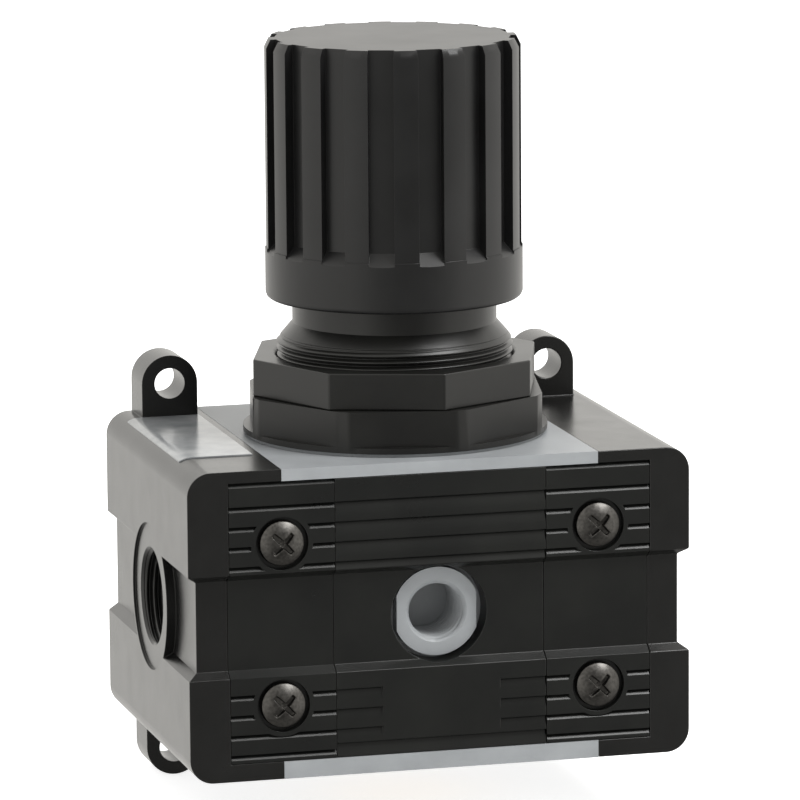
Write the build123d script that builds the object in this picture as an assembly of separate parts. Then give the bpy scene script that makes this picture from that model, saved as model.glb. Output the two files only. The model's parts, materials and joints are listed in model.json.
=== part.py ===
from build123d import *
import math
import os

# Pneumatic pressure regulator with modular end plates, in millimetres.
# The knob axis is Z and the main ports lie on X. The front faces -Y.
# It is modelled about the crossing of both axes, and then set so that the
# origin is the centre of the wall lug pattern, on the rear plane.

# Overall block
body_width = 68.0
end_plate_thickness = 20.0
block_height = 65.4
front_reach = 36.3
rear_reach = 40.0
corner_radius = 5.0

# Pipe threads, cut at their core radius
main_port_core_radius = 9.32
main_port_mouth_radius = 10.5
gauge_port_core_radius = 5.72
gauge_port_mouth_radius = 6.6
gauge_port_depth = 13.0
port_boss_radius = 16.3
port_face_radius = 15.6
port_face_depth = 0.55

# Recessed band round the block
band_half_height = 9.5
band_depth = 2.0
band_slope = 1.4

# Wall lugs
lug_radius = 6.1
lug_hole_radius = 3.3
lug_offset_x = 42.2
lug_offset_z = 40.0
lug_thickness = 10.5

# Front and rear pockets, and the covers and clamps in them
pocket_depth = 7.0
pocket_top = 30.2
pocket_bottom = -29.0
clamp_half_width = 11.25
cover_gap = 0.1
clamp_floor_gap = 0.3
cover_wall = 2.4
joint_rib_root = 6.5
joint_rib_tip = 4.6
joint_rib_height = 3.0
rib_flank_gap = 0.05
rib_tip_gap = 0.4

# Grooves on the covers and clamps
groove_pitch = 4.2
groove_count = 4
first_upper_groove = 25.2
first_lower_groove = -14.5
groove_depth = 1.0
clamp_groove_width = 1.1
clamp_top_bevel = 0.9
cover_groove_width = 2.3
cover_foot_width = 3.0
screw_flat_radius = 6.6
plain_panel_half_width = 12.7

# Gauge port boss
gauge_boss_radius = 9.4
gauge_boss_half_width = 8.6
gauge_boss_height = 3.0
gauge_hole_radius = 10.3

# Clamp screws and nuts
screw_radius = 2.45
screw_clearance = 0.3
screw_offset_z = 17.1
screw_head_radius = 4.75
screw_head_height = 3.2
screw_head_rim = 1.45
screw_seat_radius = 5.6
screw_seat_depth = 1.6
screw_cross_length = 4.6
screw_cross_width = 0.9
screw_cross_depth = 1.5
screw_cross_turn = 45.0
nut_across_flats = 8.0
nut_thickness = 2.7
nut_pocket_gap = 0.15
nut_pocket_depth = 3.0

# Seals
seal_gap = 0.05
port_seal_radius = 12.2
port_seal_section = 0.95
port_seal_groove_width = 2.4

# Label
label_inner_x = 35.9
label_outer_x = 51.6
label_front_y = -19.0
label_thickness = 0.25

# Diaphragm well in the body
well_radius = 26.0
thread_gap = 0.05
ledge_z = 21.5
chamber_radius = 21.5
chamber_floor_z = 12.5
chamber_floor_thickness = 3.0

# Valve
outlet_chamber_radius = 13.0
seat_web_top = 4.0
seat_web_bottom = 2.5
seat_web_hole_radius = 9.5
seat_radius = 12.0
port_slot_half_width = 8.0
body_port_radius = 9.0
seat_bore_radius = 7.8
seat_height = 2.8
seat_lip_height = 0.5
seat_lip_width = 0.8
poppet_radius = 10.0
poppet_head_height = 4.0
poppet_stem_radius = 2.55
poppet_tail_radius = 4.0
valve_disc_height = 1.2
valve_disc_inner_radius = 4.0
valve_travel = 1.2
running_gap = 0.05
feedback_hole_radius = 1.2
feedback_hole_x = 10.0
tail_length = 19.0
valve_spring_radius = 6.4
valve_spring_wire = 0.6
valve_spring_turns = 4
gauge_passage_radius = 1.2
gauge_passage_z = 4.5
port_wall_x = 17.0

# Bottom plug
plug_radius = 15.0
plug_length = 11.0
plug_boss_radius = 9.0
plug_boss_height = 2.6
plug_hex_across_flats = 14.0
plug_hex_depth = 3.0
plug_seal_section = 0.9
plug_seal_height = 7.9
stem_seal_section = 0.8
stem_seal_height = 9.5

# Rear gauge plug
gauge_plug_length = 9.0
gauge_plug_hex_across_flats = 6.0
gauge_plug_hex_depth = 4.0
gauge_plug_flange_radius = 7.8
gauge_plug_flange_height = 2.0
gauge_seal_thickness = 1.0

# Diaphragm and its plates
diaphragm_thickness = 1.6
diaphragm_bead = 2.4
diaphragm_flat_radius = 17.0
diaphragm_hole_radius = 4.05
slip_ring_thickness = 1.0
rim_gap = 0.2
upper_plate_radius = 16.6
upper_plate_thickness = 2.6
spring_pilot_radius = 12.2
spring_pilot_height = 3.0
lower_plate_radius = 14.0
lower_plate_thickness = 2.0
relief_tube_radius = 4.0
relief_hole_radius = 1.4
relief_tube_top = 33.0

# Bonnet
bonnet_flange_radius = 32.3
bonnet_flange_height = 1.2
bonnet_seat_radius = 31.6
bonnet_seat_height = 0.7
bonnet_tier_height = 7.5
bonnet_tier_across_flats = 61.0
bonnet_tier_turn = 10.5
bonnet_tier_sides = 8
neck_radius = 25.0
neck_top_z = 52.6
neck_lead_radius = 23.9
neck_lead_height = 1.4
flare_height = 2.6
tube_radius = 21.0
collar_step = 0.65
collar_radius = tube_radius + collar_step
tube_top_z = 98.0
tube_top_wall = 4.0
tube_edge_radius = 1.5
spring_bore_radius = 18.2
skirt_bore_top_z = 31.0
key_count = 4
key_groove_radius = 19.5
key_width = 4.0
key_gap = 0.15
key_groove_bottom_z = 66.0
vent_radius = 1.25

# Lock teeth between bonnet and knob
tooth_count = 24
tooth_bottom_z = 62.2
tooth_height = 3.0
tooth_reach = 1.75
tooth_tip_radius = collar_radius + tooth_reach
bonnet_tooth_angle = 6.5
knob_tooth_angle = 7.0
knob_tooth_root_gap = 0.4
lock_travel = 3.0

# Panel nut
panel_nut_across_corners = 63.2
panel_nut_height = 7.8
panel_nut_turn = 4.3
panel_nut_sides = 8
panel_nut_edge = 0.6

# Knob
knob_tooth_gap = 0.6
knob_bore_radius = tooth_tip_radius + knob_tooth_gap
knob_tube_gap = 1.4
knob_upper_bore_radius = tube_radius + knob_tube_gap
knob_mouth_step = 1.3
knob_mouth_radius = knob_bore_radius + knob_mouth_step
skirt_wall = 1.95
skirt_radius = knob_mouth_radius + skirt_wall
skirt_step = 0.25
knob_radius = skirt_radius - skirt_step
knob_bottom_z = 61.9
knob_top_z = 116.9
knob_edge_inset = 0.95
knob_edge_height = 1.9
skirt_top_z = 72.6
skirt_edge_height = 1.1
skirt_edge_inset = 0.8
skirt_edge_share = 0.35
knob_shoulder_z = 70.6
knob_mouth_height = 2.6
knob_mouth_slope = 1.0
knob_top_wall = 2.8
flute_count = 16
flute_width = 5.4
flute_depth = 2.3
flute_turn = 2.2
flute_end_z = 74.4
flute_slope = 2.2
hub_radius = 10.0
hub_stop_gap = 0.3
hub_rib_count = 6
hub_rib_width = 1.6
hub_rib_bottom_z = 105.0

# Spindle
spindle_radius = 5.0
spindle_bottom_z = 60.0
spindle_top_gap = 0.7
spindle_collar_radius = 8.5
spindle_collar_height = 2.4
thrust_washer_thickness = 1.0
thrust_washer_radius = 9.0
thrust_gap = 0.05
clip_groove_depth = 0.8
clip_thickness = 1.0
clip_radius = 7.4
clip_opening = 5.0
spline_count = 8
spline_root_radius = 6.2
spline_tip_radius = 7.3
spline_width = 2.2
spline_gap = 0.08
spline_clip_gap = 1.45

# Spring plate and main spring
spring_plate_radius = 17.8
spring_plate_thickness = 5.0
spring_plate_release_gap = 0.5
spring_plate_hub_radius = 9.0
spring_plate_hub_height = 6.0
main_spring_radius = 14.4
main_spring_wire = 1.8
main_spring_turns = 8

overlap = 1.0
half_width = body_width / 2
plate_outer_x = half_width + end_plate_thickness
deck_z = block_height / 2


def block(x0, x1, y0, y1, z0, z1):
    """A box between two corners."""
    size = (x1 - x0, y1 - y0, z1 - z0)
    centre = ((x0 + x1) / 2, (y0 + y1) / 2, (z0 + z1) / 2)
    return Pos(*centre) * Box(*size)


def turned(points):
    """A solid of revolution about Z from (radius, height) points."""
    profile = make_face(Polyline(*[(r, 0, z) for r, z in points], close=True).edges())
    return revolve(profile, axis=Axis.Z)


def disc(radius, bottom, top):
    """A round solid about Z."""
    return Pos(0, 0, (bottom + top) / 2) * Cylinder(radius, top - bottom)


def ring(outer, inner, bottom, top):
    """A round solid about Z with a bore."""
    return disc(outer, bottom, top) - disc(inner, bottom - overlap, top + overlap)


def rod_x(radius, x0, x1, z=0.0):
    """A round bar along X."""
    return Pos((x0 + x1) / 2, 0, z) * Rot(0, 90, 0) * Cylinder(radius, x1 - x0)


def rod_y(radius, y0, y1, x=0.0, z=0.0):
    """A round bar along Y."""
    return Pos(x, (y0 + y1) / 2, z) * Rot(90, 0, 0) * Cylinder(radius, y1 - y0)


def prism_x(points, x0, x1):
    """A bar along X whose section is given by (y, z) points."""
    face = make_face(Polyline(*[(x0, y, z) for y, z in points], close=True).edges())
    return extrude(face, amount=x1 - x0, dir=(1, 0, 0))


def prism_y(points, y0, y1):
    """A bar along Y whose section is given by (x, z) points."""
    face = make_face(Polyline(*[(x, y0, z) for x, z in points], close=True).edges())
    return extrude(face, amount=y1 - y0, dir=(0, 1, 0))


def prism_z(points, z0, z1):
    """A bar along Z whose section is given by (x, y) points."""
    face = make_face(Polyline(*[(x, y, z0) for x, y in points], close=True).edges())
    return extrude(face, amount=z1 - z0, dir=(0, 0, 1))


def polygon_bar(sides, across_corners, bottom, top, turn):
    """An upright bar with equal sides, one corner turned by an angle from X."""
    face = Rot(0, 0, turn) * RegularPolygon(across_corners / 2, sides)
    return extrude(Pos(0, 0, bottom) * face, amount=top - bottom)


def hexagon_bar(across_flats, bottom, top):
    """An upright hexagonal bar."""
    return polygon_bar(6, 2 * across_flats / math.sqrt(3), bottom, top, 0)


def around(count, shape, turn=0.0):
    """Copies of a shape spaced evenly about Z."""
    return [Rot(0, 0, turn + 360.0 * i / count) * shape for i in range(count)]


def half_turn(shape):
    """The same shape on the other side of the knob axis."""
    return Rot(0, 0, 180) * shape


def in_place(shape):
    """The shape where it is, for what is cut at the front and at the rear alike."""
    return shape


def mirrored_x(shape):
    """The same shape on the other side of the middle plane."""
    return mirror(shape, about=Plane.YZ)


def coil_spring(mean_radius, wire_radius, bottom, top, turns):
    """A wire spring with both ends ground flat."""
    height = top - bottom
    path = Helix(pitch=height / turns, height=height, radius=mean_radius)
    section = Plane(origin=path @ 0, z_dir=path % 0) * Circle(wire_radius)
    wire = Pos(0, 0, bottom) * sweep(section, path=path, is_frenet=True)
    reach = mean_radius + 2 * wire_radius
    return wire & block(-reach, reach, -reach, reach, bottom, top)


def seal_ring(mean_radius, section_radius, z):
    """An O-ring lying flat about Z."""
    return Pos(0, 0, z) * Torus(mean_radius, section_radius)


# Tools shared by the front and the rear

def band_points(face, inward):
    """Section of the recessed band at a face, with the depth pointing inward."""
    outer = band_half_height + band_slope * (band_depth + overlap) / band_depth
    floor = face + inward * band_depth
    outside = face - inward * overlap
    return [(outside, outer), (floor, band_half_height),
            (floor, -band_half_height), (outside, -outer)]


def front_band(reach, x0, x1):
    """Cutter for the recessed band on a front face."""
    return prism_x(band_points(-reach, 1), x0, x1)


def pocket(reach, x0, x1):
    """Cutter for the pocket that holds the clamps and the cover."""
    return block(x0, x1, -reach - overlap, -reach + pocket_depth, pocket_bottom, pocket_top)


def joint_rib(reach, flank_gap, tip_gap):
    """The rib across a joint that a clamp draws together, with a gap for its channel."""
    floor = -reach + pocket_depth
    tip = floor - joint_rib_height - tip_gap
    lean = (joint_rib_root - joint_rib_tip) / joint_rib_height
    root_half = joint_rib_root + flank_gap + lean * overlap
    tip_half = joint_rib_tip + flank_gap - lean * tip_gap
    points = [(half_width - root_half, floor + overlap), (half_width - tip_half, tip),
              (half_width + tip_half, tip), (half_width + root_half, floor + overlap)]
    return prism_z(points, pocket_bottom, pocket_top)


def groove(reach, top_z, width, x0, x1):
    """A notch with a level upper wall and a sloping lower wall."""
    face = -reach
    lean = width / groove_depth
    points = [(face - overlap, top_z), (face + groove_depth, top_z),
              (face - overlap, top_z - width - lean * overlap)]
    return prism_x(points, x0, x1)


def groove_tops():
    """Heights of the upper walls of all grooves."""
    upper = [first_upper_groove - groove_pitch * i for i in range(groove_count)]
    lower = [first_lower_groove - groove_pitch * i for i in range(groove_count)]
    return upper, lower


def clamp_screw_places():
    """Heights of the two screws of a clamp."""
    return [screw_offset_z, -screw_offset_z]


# Castings

def main_body():
    """Cast body with the diaphragm well, the valve chambers and the gauge ports."""
    body = block(-half_width, half_width, -front_reach, rear_reach, -deck_z, deck_z)
    for reach, place in ((front_reach, in_place), (rear_reach, half_turn)):
        face_floor = -reach + pocket_depth
        ribs = joint_rib(reach, 0, 0)
        ribs = ribs + mirrored_x(ribs)
        boss = rod_y(gauge_boss_radius, face_floor - gauge_boss_height, face_floor + overlap)
        boss = boss & block(-gauge_boss_half_width, gauge_boss_half_width, -reach, 0,
                            -gauge_boss_radius, gauge_boss_radius)
        body = body - place(pocket(reach, -half_width - overlap, half_width + overlap)
                            - ribs - boss)
    # Diaphragm well and chamber, with the raised ring that the bonnet seats on
    body = body + disc(bonnet_seat_radius, deck_z - overlap, bonnet_seat_z())
    body = body - disc(well_radius, ledge_z, bonnet_seat_z() + overlap)
    body = body - disc(chamber_radius, chamber_floor_z, ledge_z + overlap)
    # Outlet chamber above the seat, valve chamber below it, bottom plug bore
    floor_bottom = chamber_floor_z - chamber_floor_thickness
    body = body - disc(outlet_chamber_radius, seat_web_top, floor_bottom)
    body = body - disc(seat_web_hole_radius, seat_web_bottom - overlap, seat_web_top + overlap)
    body = body - disc(seat_radius, -deck_z + plug_length - overlap, seat_web_bottom)
    body = body - disc(plug_radius, -deck_z - overlap, -deck_z + plug_length)
    body = body - disc(poppet_stem_radius + running_gap, floor_bottom - overlap,
                       chamber_floor_z + overlap)
    feedback = disc(feedback_hole_radius, floor_bottom - overlap, chamber_floor_z + overlap)
    body = body - Pos(feedback_hole_x, 0, 0) * feedback
    # Main passages: the inlet leads below the seat, the outlet above it
    body = body - rod_x(body_port_radius, -half_width - overlap, -port_wall_x)
    body = body - rod_x(body_port_radius, port_wall_x, half_width + overlap)
    body = body - block(-port_wall_x - overlap, 0, -port_slot_half_width,
                        port_slot_half_width, -body_port_radius, seat_lip_z())
    body = body - block(0, port_wall_x + body_port_radius, -port_slot_half_width,
                        port_slot_half_width, seat_web_top, floor_bottom)
    # Gauge ports with their passages to the outlet chamber
    for reach, place in ((front_reach, in_place), (rear_reach, half_turn)):
        face = -reach + pocket_depth - gauge_boss_height
        body = body - place(gauge_port(face))
        body = body - place(rod_y(gauge_passage_radius, face + gauge_port_depth - overlap,
                                  -outlet_chamber_radius + overlap, z=gauge_passage_z))
    # Half of each screw passage
    for side in (-1, 1):
        for z in clamp_screw_places():
            body = body - rod_y(screw_radius + screw_clearance, -front_reach - overlap,
                                rear_reach + overlap, x=side * half_width, z=z)
    return body


def gauge_port(face):
    """Cutter for a gauge port with a chamfered mouth at a front face."""
    chamfer_length = gauge_port_mouth_radius - gauge_port_core_radius
    points = [(0, -overlap), (gauge_port_mouth_radius + overlap, -overlap),
              (gauge_port_core_radius, chamfer_length),
              (gauge_port_core_radius, gauge_port_depth), (0, gauge_port_depth)]
    return Pos(0, face, 0) * Rot(-90, 0, 0) * turned(points)


def main_port():
    """Cutter for a main port: machined sealing face, chamfered mouth and bore."""
    chamfer_end = port_face_depth + main_port_mouth_radius - main_port_core_radius
    points = [(0, -overlap), (port_face_radius, -overlap),
              (port_face_radius, port_face_depth), (main_port_mouth_radius, port_face_depth),
              (main_port_core_radius, chamfer_end),
              (main_port_core_radius, end_plate_thickness + overlap),
              (0, end_plate_thickness + overlap)]
    return Pos(plate_outer_x, 0, 0) * Rot(0, -90, 0) * turned(points)


def lug():
    """One wall lug with its hole, above an end plate."""
    y0 = rear_reach - lug_thickness
    tongue = block(lug_offset_x - lug_radius, lug_offset_x + lug_radius, y0, rear_reach,
                   deck_z - overlap, lug_offset_z)
    tongue = tongue + rod_y(lug_radius, y0, rear_reach, x=lug_offset_x, z=lug_offset_z)
    return tongue - rod_y(lug_hole_radius, y0 - overlap, rear_reach + overlap,
                          x=lug_offset_x, z=lug_offset_z)


def right_end_plate():
    """Cast end plate with the outlet port and two wall lugs."""
    plate = block(half_width, plate_outer_x, -front_reach, rear_reach, -deck_z, deck_z)
    outer_edges = plate.edges().filter_by(Axis.Y).group_by(Axis.X)[-1]
    plate = fillet(outer_edges, corner_radius)
    upper_lug = lug()
    plate = plate + upper_lug + mirror(upper_lug, about=Plane.XY)
    # Band round the outer side, which leaves the port boss standing
    boss = rod_x(port_boss_radius, plate_outer_x - 2 * band_depth, plate_outer_x + 2 * overlap)
    band = prism_y(band_points(plate_outer_x, -1), -front_reach - overlap,
                   rear_reach + overlap)
    plate = plate - (band - boss)
    plate = plate - front_band(front_reach, half_width, plate_outer_x + overlap)
    # Clamp pockets with half of each joint rib
    pocket_x = half_width + clamp_half_width + cover_gap
    for reach, place in ((front_reach, in_place), (rear_reach, half_turn)):
        cut = pocket(reach, half_width - overlap, pocket_x) - joint_rib(reach, 0, 0)
        if place is half_turn:
            cut = mirrored_x(cut)
        plate = plate - place(cut)
    plate = plate - main_port()
    # Groove for the port seal, and half of each screw passage
    groove_outer = port_seal_radius + port_seal_groove_width / 2
    groove_inner = port_seal_radius - port_seal_groove_width / 2
    groove_end = half_width + 2 * port_seal_section + 2 * seal_gap
    plate = plate - (rod_x(groove_outer, half_width - overlap, groove_end)
                     - rod_x(groove_inner, half_width - 2 * overlap, groove_end + overlap))
    for z in clamp_screw_places():
        plate = plate - rod_y(screw_radius + screw_clearance, -front_reach - overlap,
                              rear_reach + overlap, x=half_width, z=z)
    return plate


def right_port_seal():
    """Seal between the body and the right end plate."""
    x = half_width + seal_gap + port_seal_section
    return Pos(x, 0, 0) * Rot(0, 90, 0) * Torus(port_seal_radius, port_seal_section)


# Covers and clamps

def centre_cover(reach):
    """Ribbed moulded cover between the clamps, with the gauge opening."""
    half = half_width - clamp_half_width - cover_gap
    floor = -reach + pocket_depth
    top = pocket_top - cover_gap
    bottom = pocket_bottom + cover_gap
    cover = block(-half, half, -reach, floor, bottom, top)
    hollow = block(-half + cover_wall, half - cover_wall, -reach + band_depth + cover_wall,
                   floor + overlap, bottom + cover_wall, top - cover_wall)
    sleeve = rod_y(gauge_hole_radius + cover_wall, -reach, floor + 2 * overlap)
    cover = cover - (hollow - sleeve)
    cover = cover - front_band(reach, -half - overlap, half + overlap)
    upper, lower = groove_tops()
    full = (-half - overlap, half + overlap)
    left = (-half - overlap, -plain_panel_half_width)
    right = (plain_panel_half_width, half + overlap)
    for z in upper:
        cover = cover - groove(reach, z, cover_groove_width, *full)
    for z in lower[:-1]:
        cover = cover - groove(reach, z, cover_groove_width, *left)
        cover = cover - groove(reach, z, cover_groove_width, *right)
    cover = cover - groove(reach, bottom + cover_foot_width, cover_foot_width, *full)
    cover = cover - rod_y(gauge_hole_radius, -reach - overlap, floor + overlap)
    return cover


def clamp(reach, with_nuts):
    """Ribbed clamp over the right-hand joint, with a channel for the joint rib."""
    x0 = half_width - clamp_half_width
    x1 = half_width + clamp_half_width
    floor = -reach + pocket_depth
    top = pocket_top - cover_gap
    bottom = pocket_bottom + cover_gap
    section = [(-reach, bottom), (floor - clamp_floor_gap, bottom),
               (floor - clamp_floor_gap, top), (-reach + clamp_top_bevel, top),
               (-reach, top - clamp_top_bevel)]
    plate = prism_x(section, x0, x1)
    plate = plate - joint_rib(reach, rib_flank_gap, rib_tip_gap)
    plate = plate - front_band(reach, x0 - overlap, x1 + overlap)
    flats = Compound([rod_y(screw_flat_radius, -reach - overlap, floor, x=half_width, z=z)
                      for z in clamp_screw_places()])
    upper, lower = groove_tops()
    for z in upper + lower:
        cut = groove(reach, z, clamp_groove_width, x0 - overlap, x1 + overlap)
        if abs(abs(z) - screw_offset_z) < screw_flat_radius:
            cut = cut - flats
        plate = plate - cut
    for z in clamp_screw_places():
        plate = plate - rod_y(screw_radius + screw_clearance, -reach - overlap,
                              floor + overlap, x=half_width, z=z)
        if with_nuts:
            plate = plate - nut_pocket(reach, z)
        else:
            plate = plate - rod_y(screw_seat_radius, -reach - overlap,
                                  -reach + screw_seat_depth, x=half_width, z=z)
    return plate


def nut_pocket(reach, z):
    """Cutter for a nut in the outer face of a clamp."""
    hexagon = hexagon_bar(nut_across_flats + 2 * nut_pocket_gap, -overlap, nut_pocket_depth)
    return Pos(half_width, -reach, z) * Rot(-90, 0, 0) * hexagon


def clamp_screw():
    """Pan-head screw, its head's underside at the origin and its tip up +Y."""
    length = front_reach - screw_seat_depth + rear_reach - nut_pocket_depth + nut_thickness
    rise = screw_head_height - screw_head_rim
    dome_radius = (screw_head_radius ** 2 + rise ** 2) / (2 * rise)
    dome = Pos(0, 0, screw_head_height - dome_radius) * Sphere(dome_radius)
    head = disc(screw_head_radius, 0, screw_head_height) & dome
    for turn in (screw_cross_turn, screw_cross_turn + 90):
        slot = block(-screw_cross_length / 2, screw_cross_length / 2,
                     -screw_cross_width / 2, screw_cross_width / 2,
                     screw_head_height - screw_cross_depth, screw_head_height + overlap)
        head = head - Rot(0, 0, turn) * slot
    return Rot(90, 0, 0) * (head + disc(screw_radius, -length, overlap / 2))


def clamp_screws():
    """The four screws that run from the front clamps to the nuts in the rear clamps."""
    screw = clamp_screw()
    return [Pos(side * half_width, -front_reach + screw_seat_depth, z) * screw
            for side in (-1, 1) for z in clamp_screw_places()]


def clamp_nuts():
    """The four nuts in the rear clamps."""
    outer = rear_reach - nut_pocket_depth + nut_thickness
    nut = hexagon_bar(nut_across_flats, 0, nut_thickness) \
        - disc(screw_radius + running_gap, -overlap, nut_thickness + overlap)
    nut = Rot(90, 0, 0) * nut
    return [Pos(side * half_width, outer, z) * nut
            for side in (-1, 1) for z in clamp_screw_places()]


def plate_shoulder(grown):
    """Solid bar with an end plate's rounded outer edges, larger by a thickness."""
    bar = block(half_width, plate_outer_x + grown, -front_reach, rear_reach,
                -deck_z - grown, deck_z + grown)
    outer_edges = bar.edges().filter_by(Axis.Y).group_by(Axis.X)[-1]
    return fillet(outer_edges, corner_radius + grown)


def name_label():
    """Blank label on the left end plate, in front of its lug and bent over its edge."""
    back_y = rear_reach - lug_thickness - cover_gap
    skin = plate_shoulder(label_thickness) - plate_shoulder(0)
    return mirrored_x(skin & block(label_inner_x, label_outer_x, label_front_y, back_y, 0,
                                   deck_z + overlap))


# Bonnet, panel nut and knob

def bonnet_thread_bottom():
    """Lower end of the bonnet's thread, which presses on the slip ring."""
    return ledge_z + diaphragm_bead + slip_ring_thickness


def bonnet_seat_z():
    """Top of the raised ring on the body, under the bonnet's flange."""
    return deck_z + bonnet_seat_height


def bonnet():
    """Bonnet: thread into the body, flange, wrench tier, threaded neck, spring tube."""
    flange_top = bonnet_seat_z() + bonnet_flange_height
    tier_top = flange_top + bonnet_tier_height
    thread_radius = well_radius - thread_gap
    lead_top = neck_top_z + neck_lead_height
    outside = [(0, bonnet_thread_bottom()), (thread_radius, bonnet_thread_bottom()),
               (thread_radius, bonnet_seat_z()), (bonnet_flange_radius, bonnet_seat_z()),
               (bonnet_flange_radius, flange_top), (neck_radius, flange_top),
               (neck_radius, neck_top_z), (neck_lead_radius, lead_top),
               (collar_radius, lead_top + flare_height),
               (collar_radius, tooth_bottom_z + tooth_height),
               (tube_radius, tooth_bottom_z + tooth_height),
               (tube_radius, tube_top_z - tube_edge_radius),
               (tube_radius - tube_edge_radius, tube_top_z), (0, tube_top_z)]
    shell = turned(outside)
    tier_corners = bonnet_tier_across_flats / math.cos(math.pi / bonnet_tier_sides)
    tier = polygon_bar(bonnet_tier_sides, tier_corners, flange_top - bonnet_flange_height / 2,
                       tier_top, bonnet_tier_turn)
    shell = shell + (tier & disc(bonnet_flange_radius, bonnet_seat_z(), tier_top))
    shell = shell + around(tooth_count, ring_tooth(collar_radius - overlap, tooth_tip_radius,
                                                   bonnet_tooth_angle, tooth_bottom_z,
                                                   tooth_bottom_z + tooth_height))
    shell = shell - disc(chamber_radius, bonnet_thread_bottom() - overlap, skirt_bore_top_z)
    shell = shell - disc(spring_bore_radius, skirt_bore_top_z - overlap,
                         tube_top_z - tube_top_wall)
    shell = shell - disc(spindle_radius + running_gap, tube_top_z - tube_top_wall - overlap,
                         tube_top_z + overlap)
    key_cut = block(0, key_groove_radius, -key_width / 2 - key_gap, key_width / 2 + key_gap,
                    key_groove_bottom_z, tube_top_z - tube_top_wall)
    shell = shell - around(key_count, key_cut)
    vent_z = flange_top + bonnet_tier_height / 2
    return shell - rod_y(vent_radius, 0, bonnet_flange_radius + overlap, z=vent_z)


def ring_tooth(inner, outer, angle, bottom, top):
    """One straight tooth of a toothed ring, on the X axis."""
    half = math.radians(angle / 2)
    wide = outer * math.sin(half)
    narrow = inner * math.sin(half)
    points = [(inner, -narrow), (outer, -wide), (outer, wide), (inner, narrow)]
    return prism_z(points, bottom, top)


def panel_nut():
    """Octagonal nut on the neck, clamping against a panel or the wrench tier."""
    bottom = bonnet_seat_z() + bonnet_flange_height + bonnet_tier_height
    nut = polygon_bar(panel_nut_sides, panel_nut_across_corners, bottom,
                      bottom + panel_nut_height, panel_nut_turn)
    nut = nut - disc(neck_radius + running_gap, bottom - overlap,
                     bottom + panel_nut_height + overlap)
    top_edges = nut.faces().sort_by(Axis.Z)[-1].inner_wires().edges()
    return chamfer(top_edges, panel_nut_edge)


def hub_bottom():
    """Lower end of the knob's hub, which clears the clip when the knob is pushed down."""
    return clip_groove_top() + lock_travel + hub_stop_gap


def knob_ceiling():
    """Underside of the knob's top wall."""
    return knob_top_z - knob_top_wall


def knob():
    """Fluted knob with its splined hub, lock teeth and stiffening ribs."""
    mouth_top = knob_bottom_z + knob_mouth_height
    ceiling = knob_ceiling()
    outside = [(0, knob_top_z), (knob_radius - knob_edge_inset, knob_top_z),
               (knob_radius, knob_top_z - knob_edge_height), (knob_radius, skirt_top_z),
               (skirt_radius, skirt_top_z), (skirt_radius, knob_bottom_z + skirt_edge_height),
               (skirt_radius - skirt_edge_inset * skirt_edge_share,
                knob_bottom_z + skirt_edge_height * skirt_edge_share),
               (skirt_radius - skirt_edge_inset, knob_bottom_z),
               (knob_mouth_radius, knob_bottom_z), (knob_mouth_radius, mouth_top),
               (knob_bore_radius, mouth_top + knob_mouth_slope),
               (knob_bore_radius, knob_shoulder_z), (knob_upper_bore_radius, knob_shoulder_z),
               (knob_upper_bore_radius, ceiling), (0, ceiling)]
    shell = turned(outside)
    bed = knob_radius - flute_depth
    flute_section = [(bed, knob_top_z + overlap), (knob_radius + overlap * 2, knob_top_z + overlap),
                     (knob_radius + overlap * 2, flute_end_z - flute_slope * 2),
                     (bed, flute_end_z)]
    flute_face = make_face(Polyline(*[(r, 0, z) for r, z in flute_section], close=True).edges())
    flute = extrude(flute_face, amount=flute_width / 2, dir=(0, 1, 0), both=True)
    shell = shell - around(flute_count, flute, flute_turn)
    hub = disc(hub_radius, hub_bottom(), ceiling + overlap)
    ribs = around(hub_rib_count, block(0, knob_upper_bore_radius + overlap / 2, -hub_rib_width / 2,
                                       hub_rib_width / 2, hub_rib_bottom_z,
                                       ceiling + overlap))
    shell = shell + hub + ribs
    shell = shell - disc(spline_root_radius + spline_gap, hub_bottom() - overlap, ceiling)
    shell = shell - around(spline_count, spline(spline_gap, hub_bottom() - overlap, ceiling))
    rest_bottom = tooth_bottom_z + tooth_height + knob_tooth_root_gap
    tooth = ring_tooth(collar_radius + knob_tooth_root_gap, knob_bore_radius + overlap / 2,
                       knob_tooth_angle, rest_bottom, rest_bottom + tooth_height)
    return shell + around(tooth_count, tooth, 180.0 / tooth_count)


def spline(gap, bottom, top):
    """One spline of the spindle's head, on the X axis, grown by a gap."""
    half = spline_width / 2 + gap
    return block(0, spline_tip_radius + gap, -half, half, bottom, top)


# Adjusting train

def collar_top():
    """Upper face of the spindle's collar, under the thrust washer."""
    return tube_top_z - tube_top_wall - thrust_washer_thickness - 2 * thrust_gap


def clip_groove_top():
    """Upper wall of the spindle's groove for its clip, just above the tube."""
    return tube_top_z + clip_thickness + 3 * thrust_gap


def spline_bottom():
    """Lower end of the spindle's splined head."""
    return clip_groove_top() + spline_clip_gap


def spindle_top():
    """Top of the splined head, which clears the knob's top wall when the knob is down."""
    return knob_ceiling() - lock_travel - spindle_top_gap


def spindle():
    """Adjusting spindle: screw, collar under the tube's top wall, clip groove, splines."""
    bar = disc(spindle_radius, spindle_bottom_z, spline_bottom())
    bar = bar + disc(spindle_collar_radius, collar_top() - spindle_collar_height, collar_top())
    bar = bar - ring(spindle_radius + overlap, spindle_radius - clip_groove_depth,
                     tube_top_z + thrust_gap, clip_groove_top())
    head = disc(spline_root_radius, spline_bottom(), spindle_top())
    head = head + around(spline_count, spline(0, spline_bottom(), spindle_top()))
    return bar + head


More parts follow.
